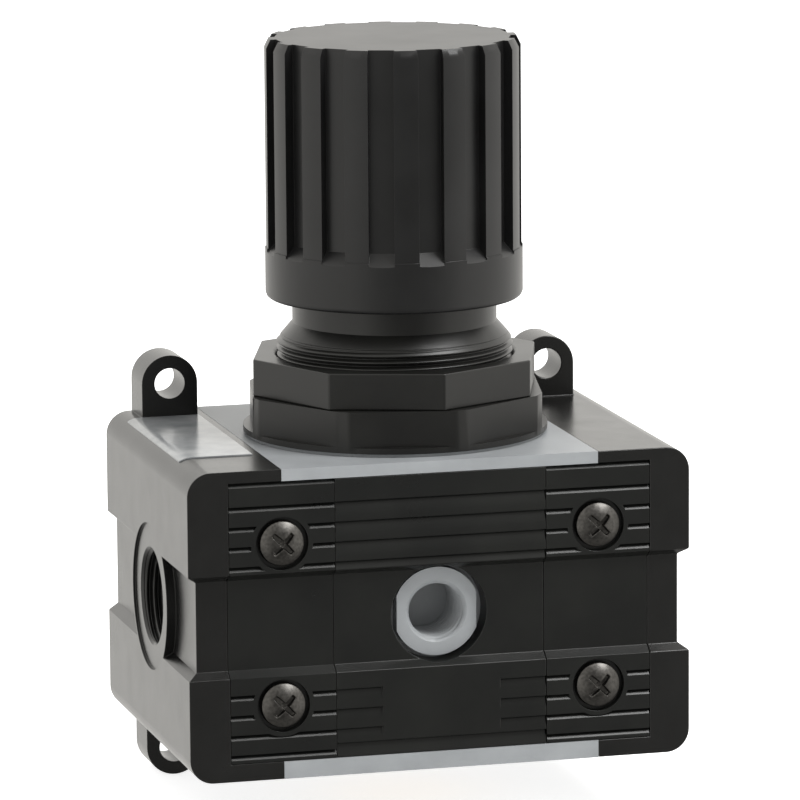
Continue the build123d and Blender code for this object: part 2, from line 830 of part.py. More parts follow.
def spindle_washer():
    """Thrust washer between the spindle's collar and the tube's top wall."""
    top = tube_top_z - tube_top_wall - thrust_gap
    return ring(thrust_washer_radius, spindle_radius + 2 * thrust_gap,
                top - thrust_washer_thickness, top)


def spindle_clip():
    """Open retaining clip in the spindle's groove, on top of the tube."""
    bottom = tube_top_z + 2 * thrust_gap
    clip = ring(clip_radius, spindle_radius - clip_groove_depth + thrust_gap, bottom,
                bottom + clip_thickness)
    return clip - block(0, clip_radius + overlap, -clip_opening / 2, clip_opening / 2,
                        bottom - overlap, bottom + clip_thickness + overlap)


def spring_plate_top():
    """Upper face of the spring plate with the main spring released."""
    return collar_top() - spindle_collar_height - spring_plate_release_gap


def spring_plate():
    """Threaded plate that the spindle drives down, keyed in the tube's grooves."""
    bottom = spring_plate_top() - spring_plate_thickness
    plate = disc(spring_plate_radius, bottom, spring_plate_top())
    plate = plate + disc(spring_plate_hub_radius, bottom - spring_plate_hub_height, bottom)
    plate = plate + around(key_count, block(0, key_groove_radius - key_gap * 2, -key_width / 2,
                                            key_width / 2, bottom, spring_plate_top()))
    return plate - disc(spindle_radius + running_gap, bottom - spring_plate_hub_height - overlap,
                        spring_plate_top() + overlap)


def main_spring():
    """Adjusting spring between the upper diaphragm plate and the spring plate."""
    bottom = upper_plate_top()
    top = spring_plate_top() - spring_plate_thickness
    return coil_spring(main_spring_radius, main_spring_wire, bottom, top, main_spring_turns)


# Diaphragm set

def web_bottom():
    """Underside of the diaphragm's flat web."""
    return ledge_z + (diaphragm_bead - diaphragm_thickness) / 2


def upper_plate_top():
    """Face of the upper diaphragm plate that carries the main spring."""
    return web_bottom() + diaphragm_thickness + upper_plate_thickness


def diaphragm():
    """Rubber diaphragm with a clamped bead and one rolling convolution."""
    outer = well_radius - rim_gap
    low = web_bottom()
    high = low + diaphragm_thickness
    rise = diaphragm_bead / 2
    mid = (diaphragm_flat_radius + chamber_radius) / 2
    points = [(diaphragm_hole_radius, low), (diaphragm_flat_radius, low),
              (mid, low + rise), (chamber_radius - rim_gap, low),
              (chamber_radius, ledge_z), (outer, ledge_z), (outer, ledge_z + diaphragm_bead),
              (chamber_radius, ledge_z + diaphragm_bead), (chamber_radius - rim_gap, high),
              (mid, high + rise), (diaphragm_flat_radius, high), (diaphragm_hole_radius, high)]
    return turned(points)


def slip_ring():
    """Flat ring between the diaphragm's bead and the bonnet's thread."""
    bottom = ledge_z + diaphragm_bead
    return ring(well_radius - rim_gap, chamber_radius, bottom, bonnet_thread_bottom())


def diaphragm_upper_plate():
    """Spring seat on top of the diaphragm, with a pilot for the spring."""
    bottom = web_bottom() + diaphragm_thickness
    plate = disc(upper_plate_radius, bottom, upper_plate_top())
    plate = plate + disc(spring_pilot_radius, bottom, upper_plate_top() + spring_pilot_height)
    return plate - disc(relief_tube_radius + running_gap, bottom - overlap,
                        upper_plate_top() + spring_pilot_height + overlap)


def diaphragm_lower_plate():
    """Plate under the diaphragm, whose tube holds the stack and carries the relief hole."""
    top = web_bottom()
    plate = disc(lower_plate_radius, top - lower_plate_thickness, top)
    plate = plate + disc(relief_tube_radius, top, relief_tube_top)
    return plate - disc(relief_hole_radius, top - lower_plate_thickness - overlap,
                        relief_tube_top + overlap)


# Valve

def seat_lip_z():
    """Height of the seat's sealing lip."""
    return seat_web_bottom - seat_height - seat_lip_height


def valve_seat():
    """Pressed-in seat ring with a narrow sealing lip."""
    bottom = seat_web_bottom - seat_height
    seat = ring(seat_radius - running_gap / 2, seat_bore_radius, bottom, seat_web_bottom)
    return seat + ring(seat_bore_radius + seat_lip_width, seat_bore_radius, seat_lip_z(), bottom)


def poppet_top():
    """Top face of the poppet's head, under the rubber disc."""
    return seat_lip_z() - running_gap - valve_disc_height


def valve_poppet():
    """Valve head with the stem that the diaphragm pushes and the tail in the plug."""
    stem_top = web_bottom() - lower_plate_thickness - running_gap
    head_bottom = poppet_top() - poppet_head_height
    poppet = disc(poppet_radius, head_bottom, poppet_top())
    poppet = poppet + disc(poppet_stem_radius, head_bottom, stem_top)
    return poppet + disc(poppet_tail_radius, head_bottom - tail_length, head_bottom)


def valve_disc():
    """Rubber disc on the poppet's head."""
    return ring(poppet_radius, valve_disc_inner_radius, poppet_top(),
                poppet_top() + valve_disc_height)


def valve_spring():
    """Return spring between the plug's boss and the poppet's head."""
    bottom = -deck_z + plug_length + plug_boss_height
    top = poppet_top() - poppet_head_height
    return coil_spring(valve_spring_radius, valve_spring_wire, bottom, top, valve_spring_turns)


def tail_bottom():
    """Lowest point of the poppet's tail when the valve is shut."""
    return poppet_top() - poppet_head_height - tail_length


def bottom_plug():
    """Screwed plug that closes the valve chamber and guides the poppet's tail."""
    top = -deck_z + plug_length
    plug = disc(plug_radius - thread_gap, -deck_z, top)
    plug = plug + disc(plug_boss_radius, top, top + plug_boss_height)
    plug = plug - disc(poppet_tail_radius + running_gap, tail_bottom() - valve_travel - overlap,
                       top + plug_boss_height + overlap)
    plug = plug - hexagon_bar(plug_hex_across_flats, -deck_z - overlap, -deck_z + plug_hex_depth)
    z = plug_seal_z()
    groove_half = plug_seal_section + 2 * seal_gap
    plug = plug - ring(plug_radius + overlap, plug_radius - 2 * plug_seal_section - 2 * seal_gap,
                       z - groove_half, z + groove_half)
    z = stem_seal_z()
    groove_half = stem_seal_section + 2 * seal_gap
    return plug - disc(poppet_tail_radius + 2 * stem_seal_section + 2 * seal_gap,
                       z - groove_half, z + groove_half)


def plug_seal_z():
    """Height of the seal round the bottom plug."""
    return -deck_z + plug_seal_height


def stem_seal_z():
    """Height of the seal round the poppet's tail."""
    return -deck_z + stem_seal_height


def bottom_plug_seal():
    """Seal between the bottom plug and the body."""
    return seal_ring(plug_radius - seal_gap - plug_seal_section, plug_seal_section,
                     plug_seal_z())


def stem_seal():
    """Seal round the poppet's tail."""
    return seal_ring(poppet_tail_radius + seal_gap + stem_seal_section, stem_seal_section,
                     stem_seal_z())


def rear_gauge_face():
    """Plane of the rear gauge boss."""
    return rear_reach - pocket_depth + gauge_boss_height


def rear_gauge_plug():
    """Hexagon-socket plug in the rear gauge port."""
    plug = disc(gauge_port_core_radius - running_gap, -gauge_plug_length, overlap / 2)
    plug = plug + disc(gauge_plug_flange_radius, gauge_seal_thickness,
                       gauge_seal_thickness + gauge_plug_flange_height)
    plug = plug + disc(gauge_port_core_radius - running_gap, 0, gauge_seal_thickness + overlap)
    top = gauge_seal_thickness + gauge_plug_flange_height
    plug = plug - hexagon_bar(gauge_plug_hex_across_flats, top - gauge_plug_hex_depth,
                              top + overlap)
    return Pos(0, rear_gauge_face(), 0) * Rot(-90, 0, 0) * plug


def gauge_plug_seal():
    """Flat seal under the rear gauge plug."""
    seal = ring(gauge_plug_flange_radius - rim_gap, gauge_port_mouth_radius, 0,
                gauge_seal_thickness)
    return Pos(0, rear_gauge_face(), 0) * Rot(-90, 0, 0) * seal


nodes = {
    "main_body": main_body(),
    "right_end_plate": right_end_plate(),
    "left_end_plate": mirrored_x(right_end_plate()),
    "right_port_seal": right_port_seal(),
    "left_port_seal": mirrored_x(right_port_seal()),
    "front_cover": centre_cover(front_reach),
    "rear_cover": half_turn(centre_cover(rear_reach)),
    "front_right_clamp": clamp(front_reach, False),
    "front_left_clamp": mirrored_x(clamp(front_reach, False)),
    "rear_left_clamp": half_turn(clamp(rear_reach, True)),
    "rear_right_clamp": mirrored_x(half_turn(clamp(rear_reach, True))),
    "clamp_screws": clamp_screws(),
    "clamp_nuts": clamp_nuts(),
    "name_label": name_label(),
    "bonnet": bonnet(),
    "panel_nut": panel_nut(),
    "knob": knob(),
    "spindle": spindle(),
    "spindle_washer": spindle_washer(),
    "spindle_clip": spindle_clip(),
    "spring_plate": spring_plate(),
    "main_spring": main_spring(),
    "diaphragm": diaphragm(),
    "slip_ring": slip_ring(),
    "diaphragm_upper_plate": diaphragm_upper_plate(),
    "diaphragm_lower_plate": diaphragm_lower_plate(),
    "valve_seat": valve_seat(),
    "valve_poppet": valve_poppet(),
    "valve_disc": valve_disc(),
    "valve_spring": valve_spring(),
    "bottom_plug": bottom_plug(),
    "bottom_plug_seal": bottom_plug_seal(),
    "stem_seal": stem_seal(),
    "rear_gauge_plug": rear_gauge_plug(),
    "gauge_plug_seal": gauge_plug_seal(),
}

os.makedirs("parts", exist_ok=True)
to_wall_frame = Pos(0, -rear_reach, 0)
for name, shape in nodes.items():
    solids = shape if isinstance(shape, list) else [shape]
    placed = [to_wall_frame * solid for solid in solids]
    piece = placed[0] if len(placed) == 1 else Compound(children=placed)
    export_step(piece, f"parts/{name}.step")
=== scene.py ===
import json
import math

import bmesh
import bpy
from mathutils import Matrix, Vector


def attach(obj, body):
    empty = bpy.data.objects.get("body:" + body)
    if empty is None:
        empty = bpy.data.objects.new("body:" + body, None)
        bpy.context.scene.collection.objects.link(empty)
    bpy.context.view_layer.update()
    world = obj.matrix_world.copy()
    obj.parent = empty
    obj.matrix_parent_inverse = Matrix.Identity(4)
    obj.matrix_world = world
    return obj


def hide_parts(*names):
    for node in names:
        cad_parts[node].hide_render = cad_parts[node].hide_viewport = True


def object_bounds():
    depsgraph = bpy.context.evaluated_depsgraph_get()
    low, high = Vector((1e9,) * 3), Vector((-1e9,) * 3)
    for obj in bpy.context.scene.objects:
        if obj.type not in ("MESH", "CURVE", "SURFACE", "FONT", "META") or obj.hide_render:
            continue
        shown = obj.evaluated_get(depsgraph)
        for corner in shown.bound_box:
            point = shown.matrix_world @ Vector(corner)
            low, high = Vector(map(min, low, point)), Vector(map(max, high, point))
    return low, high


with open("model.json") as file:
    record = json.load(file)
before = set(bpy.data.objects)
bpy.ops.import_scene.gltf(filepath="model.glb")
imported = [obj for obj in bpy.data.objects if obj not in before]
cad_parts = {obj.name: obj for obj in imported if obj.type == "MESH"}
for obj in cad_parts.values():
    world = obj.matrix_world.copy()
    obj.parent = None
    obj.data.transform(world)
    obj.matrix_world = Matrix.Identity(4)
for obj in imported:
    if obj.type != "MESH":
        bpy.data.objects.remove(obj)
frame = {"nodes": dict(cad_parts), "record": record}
nodes = frame["nodes"]
cad_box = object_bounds()

# Sizes are in metres. The part stands in its wall frame: the knob axis is upright,
# the front faces -Y, and the origin is the centre of the four lug holes.
MM = 0.001

# View of the photograph, fitted to the edges of the block and the knob
TARGET = Vector((1.097, -40.0, 39.12)) * MM
AZIMUTH = math.radians(-15.0)
ELEVATION = math.radians(10.128)
ROLL = math.radians(-0.417)
DISTANCE = 1.37819
SENSOR_WIDTH = 36.0
LENS = 8.1166 * SENSOR_WIDTH


def linear(hex_colour):
    """An sRGB hex colour as linear RGBA."""
    channels = [int(hex_colour[i:i + 2], 16) / 255 for i in (1, 3, 5)]
    return tuple(c / 12.92 if c <= 0.04045 else ((c + 0.055) / 1.055) ** 2.4
                 for c in channels) + (1.0,)


def per_mm(size):
    """Texture scale that gives a pattern of this size in millimetres."""
    return 1 / (size * MM)


def add(tree, kind, inputs=None, **settings):
    """Adds a shader node with its settings. Inputs are values, or sockets to link from."""
    node = tree.nodes.new("ShaderNode" + kind)
    for name, value in settings.items():
        setattr(node, name, value)
    for name, value in (inputs or {}).items():
        if isinstance(value, bpy.types.NodeSocket):
            tree.links.new(value, node.inputs[name])
        else:
            node.inputs[name].default_value = value
    return node


def new_material(name):
    """An empty node material with its shader, and object coordinates in metres."""
    material = bpy.data.materials.new(name)
    material.use_nodes = True
    tree = material.node_tree
    tree.nodes.clear()
    shader = add(tree, "BsdfPrincipled")
    output = add(tree, "OutputMaterial", {"Surface": shader.outputs["BSDF"]})
    output.is_active_output = True
    place = add(tree, "TexCoord").outputs["Object"]
    return material, tree, shader, place


def set_shader(shader, **values):
    """Sets sockets of a shader by name, with _ for a space."""
    for name, value in values.items():
        shader.inputs[name.replace("_", " ")].default_value = value


# Finishes

def moulded_nylon(name, colour, high, grain_mm, roughness):
    """Glass-filled nylon, injection moulded and black. The eye sees a near-black, slightly
    warm skin that turns pale grey where it is seen at a flat angle, with a very fine
    eggshell grain and faint cloudy flow marks."""
    material, tree, shader, place = new_material(name)
    flow = add(tree, "TexNoise", {"Vector": place, "Scale": per_mm(14), "Detail": 3.0})
    tone = add(tree, "ValToRGB", {"Fac": flow.outputs["Fac"]})
    tone.color_ramp.elements[0].position = 0.35
    tone.color_ramp.elements[0].color = linear(colour)
    tone.color_ramp.elements[1].position = 0.7
    tone.color_ramp.elements[1].color = linear(high)
    tree.links.new(tone.outputs["Color"], shader.inputs["Base Color"])
    sheen = add(tree, "MapRange", {"Value": flow.outputs["Fac"], "To Min": roughness - 0.03,
                                   "To Max": roughness + 0.05})
    tree.links.new(sheen.outputs["Result"], shader.inputs["Roughness"])
    grain = add(tree, "TexNoise", {"Vector": place, "Scale": per_mm(grain_mm), "Detail": 2.0})
    bump = add(tree, "Bump", {"Height": grain.outputs["Fac"], "Strength": 0.12,
                              "Distance": 0.02 * MM})
    tree.links.new(bump.outputs["Normal"], shader.inputs["Normal"])
    set_shader(shader, IOR=1.42)
    return material


def coated_casting(name, colour, high, roughness):
    """Die-cast metal under a baked coat. The eye sees an even satin colour with a faint
    orange-peel ripple and soft lighter patches."""
    material, tree, shader, place = new_material(name)
    patches = add(tree, "TexNoise", {"Vector": place, "Scale": per_mm(9), "Detail": 4.0})
    tone = add(tree, "ValToRGB", {"Fac": patches.outputs["Fac"]})
    tone.color_ramp.elements[0].position = 0.3
    tone.color_ramp.elements[0].color = linear(colour)
    tone.color_ramp.elements[1].position = 0.75
    tone.color_ramp.elements[1].color = linear(high)
    tree.links.new(tone.outputs["Color"], shader.inputs["Base Color"])
    sheen = add(tree, "MapRange", {"Value": patches.outputs["Fac"], "To Min": roughness - 0.04,
                                   "To Max": roughness + 0.06})
    tree.links.new(sheen.outputs["Result"], shader.inputs["Roughness"])
    peel = add(tree, "TexNoise", {"Vector": place, "Scale": per_mm(0.9), "Detail": 2.0})
    bump = add(tree, "Bump", {"Height": peel.outputs["Fac"], "Strength": 0.15,
                              "Distance": 0.03 * MM})
    tree.links.new(bump.outputs["Normal"], shader.inputs["Normal"])
    set_shader(shader, IOR=1.45)
    return material


def turned_metal(name, colour, dark, roughness, ring_mm):
    """Turned metal. The eye sees a bright metal with fine circular tool marks."""
    material, tree, shader, place = new_material(name)
    marks = add(tree, "TexNoise", {"Vector": place, "Scale": per_mm(ring_mm), "Detail": 3.0})
    tone = add(tree, "ValToRGB", {"Fac": marks.outputs["Fac"]})
    tone.color_ramp.elements[0].color = linear(dark)
    tone.color_ramp.elements[1].color = linear(colour)
    tree.links.new(tone.outputs["Color"], shader.inputs["Base Color"])
    sheen = add(tree, "MapRange", {"Value": marks.outputs["Fac"], "To Min": roughness - 0.05,
                                   "To Max": roughness + 0.1})
    tree.links.new(sheen.outputs["Result"], shader.inputs["Roughness"])
    bump = add(tree, "Bump", {"Height": marks.outputs["Fac"], "Strength": 0.1,
                              "Distance": 0.01 * MM})
    tree.links.new(bump.outputs["Normal"], shader.inputs["Normal"])
    set_shader(shader, Metallic=1.0)
    return material


def laminated_label(name):
    """Bare silver label under a clear laminate. The eye sees a pale cool grey with faint
    cloudy streaks from the printing, and soft reflections in the film."""
    material, tree, shader, place = new_material(name)
    clouds = add(tree, "TexNoise", {"Vector": place, "Scale": per_mm(7), "Detail": 2.0})
    tone = add(tree, "ValToRGB", {"Fac": clouds.outputs["Fac"]})
    tone.color_ramp.elements[0].position = 0.35
    tone.color_ramp.elements[0].color = linear("#8f9294")
    tone.color_ramp.elements[1].position = 0.65
    tone.color_ramp.elements[1].color = linear("#a9abab")
    tree.links.new(tone.outputs["Color"], shader.inputs["Base Color"])
    ripple = add(tree, "TexNoise", {"Vector": place, "Scale": per_mm(3.5), "Detail": 1.0})
    bump = add(tree, "Bump", {"Height": ripple.outputs["Fac"], "Strength": 0.25,
                              "Distance": 0.05 * MM})
    tree.links.new(bump.outputs["Normal"], shader.inputs["Normal"])
    set_shader(shader, Metallic=0.0, Roughness=0.2, IOR=1.46)
    return material


def seal_rubber():
    """Nitrile rubber, moulded. The eye sees a dull soft black with a fine dusting."""
    material, tree, shader, place = new_material("moulded_nitrile_rubber")
    dust = add(tree, "TexNoise", {"Vector": place, "Scale": per_mm(0.8), "Detail": 3.0})
    tone = add(tree, "ValToRGB", {"Fac": dust.outputs["Fac"]})
    tone.color_ramp.elements[0].color = linear("#161616")
    tone.color_ramp.elements[1].color = linear("#262626")
    tree.links.new(tone.outputs["Color"], shader.inputs["Base Color"])
    set_shader(shader, Roughness=0.7)
    return material


grey_coat = coated_casting("grey_coated_die_casting", "#949799", "#a0a3a5", 0.4)
black_coat = coated_casting("black_coated_die_casting", "#131312", "#181817", 0.24)
cover_nylon = moulded_nylon("black_moulded_nylon_cover", "#131413", "#191a18", 0.5, 0.28)
bonnet_nylon = moulded_nylon("black_moulded_nylon_bonnet", "#161615", "#1d1d1b", 0.5, 0.32)
knob_nylon = moulded_nylon("black_moulded_nylon_knob", "#161616", "#1d1d1d", 0.5, 0.34)
black_steel = turned_metal("blackened_screw_steel", "#6a6865", "#2b2a29", 0.34, 0.6)
zinc_steel = turned_metal("bright_zinc_steel", "#b4b5b8", "#85868a", 0.3, 0.5)
spring_wire = turned_metal("drawn_spring_wire", "#8e8f92", "#5c5d60", 0.35, 0.4)
turned_brass = turned_metal("turned_brass", "#c9a45a", "#98783a", 0.3, 0.4)
turned_aluminium = turned_metal("turned_aluminium", "#c3c4c6", "#9a9b9d", 0.32, 0.4)
label_foil = laminated_label("laminated_silver_label")
rubber = seal_rubber()

FINISHES = {
    "cast_body": grey_coat, "black_casting": black_coat, "black_cover": cover_nylon,
    "black_bonnet": bonnet_nylon, "black_knob": knob_nylon, "screw_steel": black_steel,
    "label_foil": label_foil, "steel": zinc_steel, "spring_steel": spring_wire,
    "brass": turned_brass, "seal_rubber": rubber, "plate_aluminium": turned_aluminium,
}


# Shapes

def in_mm(points):
    """Points in millimetres about the knob axis, as metres in the wall frame."""
    return [Vector((x, y - 40.0, z)) * MM for x, y, z in points]


def new_piece(name, shape, finish, body):
    """Turns a bmesh into a smooth-shaded piece with its finish and body."""
    mesh = bpy.data.meshes.new(name)
    bmesh.ops.recalc_face_normals(shape, faces=shape.faces)
    shape.to_mesh(mesh)
    shape.free()
    mesh.materials.append(finish)
    for face in mesh.polygons:
        face.use_smooth = True
    piece = bpy.data.objects.new(name, mesh)
    bpy.context.scene.collection.objects.link(piece)
    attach(piece, body)
    return piece


def shade_smoothly():
    """Node group that shades every face smooth, so that rounded edges look round."""
    group = bpy.data.node_groups.new("shade_smoothly", "GeometryNodeTree")
    for way in ("INPUT", "OUTPUT"):
        group.interface.new_socket("Geometry", in_out=way, socket_type="NodeSocketGeometry")
    start = group.nodes.new("NodeGroupInput")
    smooth = group.nodes.new("GeometryNodeSetShadeSmooth")
    end = group.nodes.new("NodeGroupOutput")
    group.links.new(start.outputs[0], smooth.inputs["Geometry"])
    group.links.new(smooth.outputs[0], end.inputs[0])
    return group


SMOOTH = shade_smoothly()


def round_edges(piece, width_mm):
    """Gives a piece's sharp edges the small radius that its mould or coat leaves."""
    weld = piece.modifiers.new("weld", "WELD")
    weld.merge_threshold = 0.002 * MM
    flats = piece.modifiers.new("flats", "DECIMATE")
    flats.decimate_type = "DISSOLVE"
    flats.angle_limit = math.radians(1.0)
    bevel = piece.modifiers.new("edge_radius", "BEVEL")
    bevel.width = width_mm * MM
    bevel.segments = 2
    bevel.limit_method = "ANGLE"
    bevel.angle_limit = math.radians(30)
    smooth = piece.modifiers.new("smooth", "NODES")
    smooth.node_group = SMOOTH
    normals = piece.modifiers.new("face_normals", "WEIGHTED_NORMAL")
    normals.weight = 100


# Edge radii of the CAD pieces in millimetres, as their highlights show in the photograph
EDGE_RADII = {
    "front_cover": 0.2,
    "rear_cover": 0.2, "front_left_clamp": 0.22, "front_right_clamp": 0.22,
    "rear_left_clamp": 0.22, "rear_right_clamp": 0.22, "panel_nut": 0.35, "knob": 0.35,
    "clamp_nuts": 0.2, "rear_gauge_plug": 0.2, "bottom_plug": 0.2,
}

# Thread of the bonnet's neck, M50 x 1.5, and the bare core that it stands on
NECK_RADIUS = 25.0
NECK_CORE_RADIUS = 24.0
NECK_BOTTOM = 42.1
NECK_TOP = 52.6
LEAD_TOP = 53.9
LEAD_SLOPE = 1.1 / 1.4
THREAD_PITCH = 1.5
THREAD_DEPTH = 0.92
THREAD_ROWS = 12
THREAD_SIDES = 180
CREST_SHARE = 0.14
ROOT_SHARE = 0.1


def thread_radius(height, turn):
    """Radius of the neck's thread at a height and a share of a turn."""
    phase = (height / THREAD_PITCH - turn) % 1.0
    fall = abs(2 * phase - 1)
    fall = min(max((fall - CREST_SHARE) / (1 - CREST_SHARE - ROOT_SHARE), 0.0), 1.0)
    radius = NECK_RADIUS - THREAD_DEPTH * fall
    return min(radius, NECK_RADIUS - LEAD_SLOPE * max(height - NECK_TOP, 0.0))


def neck_thread():
    """Sleeve with the helical thread that the panel nut runs on."""
    shape = bmesh.new()
    rows = round((LEAD_TOP - NECK_BOTTOM) / THREAD_PITCH * THREAD_ROWS)
    inner = NECK_CORE_RADIUS - 0.3
    rings = []
    for row in range(-1, rows + 2):
        height = NECK_BOTTOM + (LEAD_TOP - NECK_BOTTOM) * min(max(row / rows, 0), 1)
        ring = []
        for i in range(THREAD_SIDES):
            turn = i / THREAD_SIDES
            radius = inner if row in (-1, rows + 1) else thread_radius(height, turn)
            angle = 2 * math.pi * turn
            ring.append((radius * math.cos(angle), radius * math.sin(angle), height))
        rings.append([shape.verts.new(point) for point in in_mm(ring)])
    for low, high in zip(rings, rings[1:] + rings[:1]):
        for i in range(THREAD_SIDES):
            j = (i + 1) % THREAD_SIDES
            shape.faces.new((low[i], low[j], high[j], high[i]))
    return new_piece("neck_thread", shape, bonnet_nylon, "housing")


def bonnet_shell():
    """The bonnet with its neck turned down to the core of the thread."""
    shape = bmesh.new()
    shape.from_mesh(nodes["bonnet"].data)
    for vertex in shape.verts:
        x, y, z = vertex.co.x, vertex.co.y + 40 * MM, vertex.co.z
        radius = math.hypot(x, y)
        on_neck = (NECK_BOTTOM - 0.1) * MM < z < (NECK_TOP + 0.1) * MM
        if on_neck and abs(radius - NECK_RADIUS * MM) < 0.05 * MM:
            share = NECK_CORE_RADIUS * MM / radius
            vertex.co.x = x * share
            vertex.co.y = y * share - 40 * MM
    bmesh.ops.remove_doubles(shape, verts=shape.verts, dist=0.002 * MM)
    piece = new_piece("bonnet_shell", shape, bonnet_nylon, "housing")
    round_edges(piece, 0.35)
    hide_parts("bonnet")


# Internal pipe threads, in millimetres: axis direction, where the mouth is, core and
# full radius, pitch, how far in the thread starts and ends
PORT_SIDES = 144
PORT_ROWS = 12
CASTING_PORTS = {
    "main_body": [("gauge_port_thread", (0, 1), -32.3, 5.72, 6.5, 1.337, 0.25, 12.9)],
    "left_end_plate": [("inlet_thread", (1, 0), -53.45, 9.32, 10.4, 1.814, 0.3, 19.3)],
    "right_end_plate": [("outlet_thread", (-1, 0), 53.45, 9.32, 10.4, 1.814, 0.3, 19.3)],
}


def port_thread(name, inward, mouth, core, full, pitch, start, end, finish):
    """Sleeve with the helical thread of a port, about an axis that points inward."""
    shape = bmesh.new()
    rows = round((end - start) / pitch * PORT_ROWS)
    rings = []
    for row in range(-1, rows + 2):
        depth = start + (end - start) * min(max(row / rows, 0), 1)
        ring = []
        for i in range(PORT_SIDES):
            turn = i / PORT_SIDES
            fall = abs(2 * ((depth / pitch - turn) % 1.0) - 1)
            fall = min(max((fall - 0.12) / 0.76, 0.0), 1.0)
            radius = core + (full - core) * fall
            radius = max(radius, full - max(depth - start, 0.0))
            if row in (-1, rows + 1):
                radius = full + 0.3
            angle = 2 * math.pi * turn
            across, up = radius * math.cos(angle), radius * math.sin(angle)
            along = mouth + (inward[0] + inward[1]) * depth
            ring.append((along, across, up) if inward[0] else (across, along, up))
        rings.append([shape.verts.new(point) for point in in_mm(ring)])
    for low, high in zip(rings, rings[1:] + rings[:1]):
        for i in range(PORT_SIDES):
            j = (i + 1) % PORT_SIDES
            shape.faces.new((low[i], low[j], high[j], high[i]))
    return new_piece(name, shape, finish, "housing")


def threaded_casting(name, edge_mm):
    """A casting with its open ports bored out to the full thread, and their threads."""
    finish = nodes[name].data.materials[0]
    shape = bmesh.new()
    shape.from_mesh(nodes[name].data)
    for port, inward, mouth, core, full, pitch, start, end in CASTING_PORTS[name]:
        sense = inward[0] + inward[1]
        for vertex in shape.verts:
            x, y, z = vertex.co.x / MM, vertex.co.y / MM + 40.0, vertex.co.z / MM
            across = y if inward[0] else x
            depth = ((x if inward[0] else y) - mouth) * sense
            radius = math.hypot(across, z)
            if -0.1 < depth < end + 0.2 and abs(radius - core) < 0.05:
                share = (full + 0.1) / radius
                if inward[0]:
                    vertex.co.y = (across * share - 40.0) * MM
                else:
                    vertex.co.x = across * share * MM
                vertex.co.z = z * share * MM
        port_thread(port, inward, mouth, core, full, pitch, start, end, finish)
    bmesh.ops.remove_doubles(shape, verts=shape.verts, dist=0.002 * MM)
    piece = new_piece(name + "_casting", shape, finish, "housing")
    round_edges(piece, edge_mm)
    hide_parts(name)


# Pan-head screws with a cross recess
SCREW_PLACES = [(side * 34.0, height) for side in (-1, 1) for height in (17.1, -17.1)]
SCREW_SEAT_Y = -34.7
SCREW_LENGTH = 71.4
SHANK_RADIUS = 2.45
HEAD_RADIUS = 4.75
HEAD_HEIGHT = 3.2
HEAD_RIM = 1.45
RECESS_REACH = 2.75
RECESS_HALF_WIDTH = 0.62
RECESS_DEPTH = 1.7
RECESS_WALL = 0.16
HEAD_RINGS = 44
HEAD_SIDES = 128


def soft_step(value):
    """Rises smoothly from 0 to 1 as the value goes from 0 to 1."""
    value = min(max(value, 0.0), 1.0)
    return value * value * (3 - 2 * value)


def recess_depth(x, y):
    """Depth of the cross recess under the dome at a point of the head."""
    depth = 0.0
    for along, across in ((abs(x), abs(y)), (abs(y), abs(x))):
        half = RECESS_HALF_WIDTH * (1 - 0.3 * along / RECESS_REACH)
        walls = soft_step((half - across) / RECESS_WALL + 0.5)
        end = soft_step((RECESS_REACH - along) / (3 * RECESS_WALL) + 0.5)
        depth = max(depth, walls * end * RECESS_DEPTH * (1 - 0.5 * along / RECESS_REACH))
    return depth


def clamp_screws():
    """The four long screws: domed heads with their recess, and plain shanks."""
    shape = bmesh.new()
    rise = HEAD_HEIGHT - HEAD_RIM
    dome = (HEAD_RADIUS ** 2 + rise ** 2) / (2 * rise)
    edge = 0.3
    profile = []
    for ring in range(HEAD_RINGS + 1):
        radius = (HEAD_RADIUS - edge * 0.4) * ring / HEAD_RINGS
        profile.append((radius, HEAD_HEIGHT - dome + math.sqrt(dome ** 2 - radius ** 2)))
    profile += [(HEAD_RADIUS, HEAD_RIM - edge), (HEAD_RADIUS, 0.0), (SHANK_RADIUS, 0.0),
                (SHANK_RADIUS, -SCREW_LENGTH), (0.0, -SCREW_LENGTH)]
    for x0, z0 in SCREW_PLACES:
        rings = []
        for index, (radius, height) in enumerate(profile):
            ring = []
            for i in range(HEAD_SIDES):
                angle = 2 * math.pi * i / HEAD_SIDES
                across, up = radius * math.cos(angle), radius * math.sin(angle)
                sunk = 0.0
                if index <= HEAD_RINGS:
                    half = math.sqrt(0.5)
                    sunk = recess_depth((across + up) * half, (up - across) * half)
                ring.append((x0 + across, SCREW_SEAT_Y - height + sunk, z0 + up))
            if radius == 0.0:
                ring = ring[:1]
            rings.append([shape.verts.new(point) for point in in_mm(ring)])
        for first, second in zip(rings, rings[1:]):
            for i in range(HEAD_SIDES):
                j = (i + 1) % HEAD_SIDES
                if len(first) == 1:
                    shape.faces.new((first[0], second[i], second[j]))
                elif len(second) == 1:
                    shape.faces.new((first[i], second[0], first[j]))
                else:
                    shape.faces.new((first[i], second[i], second[j], first[j]))
    piece = new_piece("cross_recess_screws", shape, black_steel, "housing")
    normals = piece.modifiers.new("face_normals", "WEIGHTED_NORMAL")
    normals.weight = 100
    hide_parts("clamp_screws")


SLOTS = {row["node"]: row["material_slot"] for row in frame["record"]["subparts"]}


def dress_nodes():
    """Gives each piece of the frame the finish of its slot."""
    for name, slot in SLOTS.items():
        nodes[name].data.materials.clear()
        nodes[name].data.materials.append(FINISHES[slot])
    for name, radius in EDGE_RADII.items():
        round_edges(nodes[name], radius)


# Studio

FLOOR_LIFT = 0.78

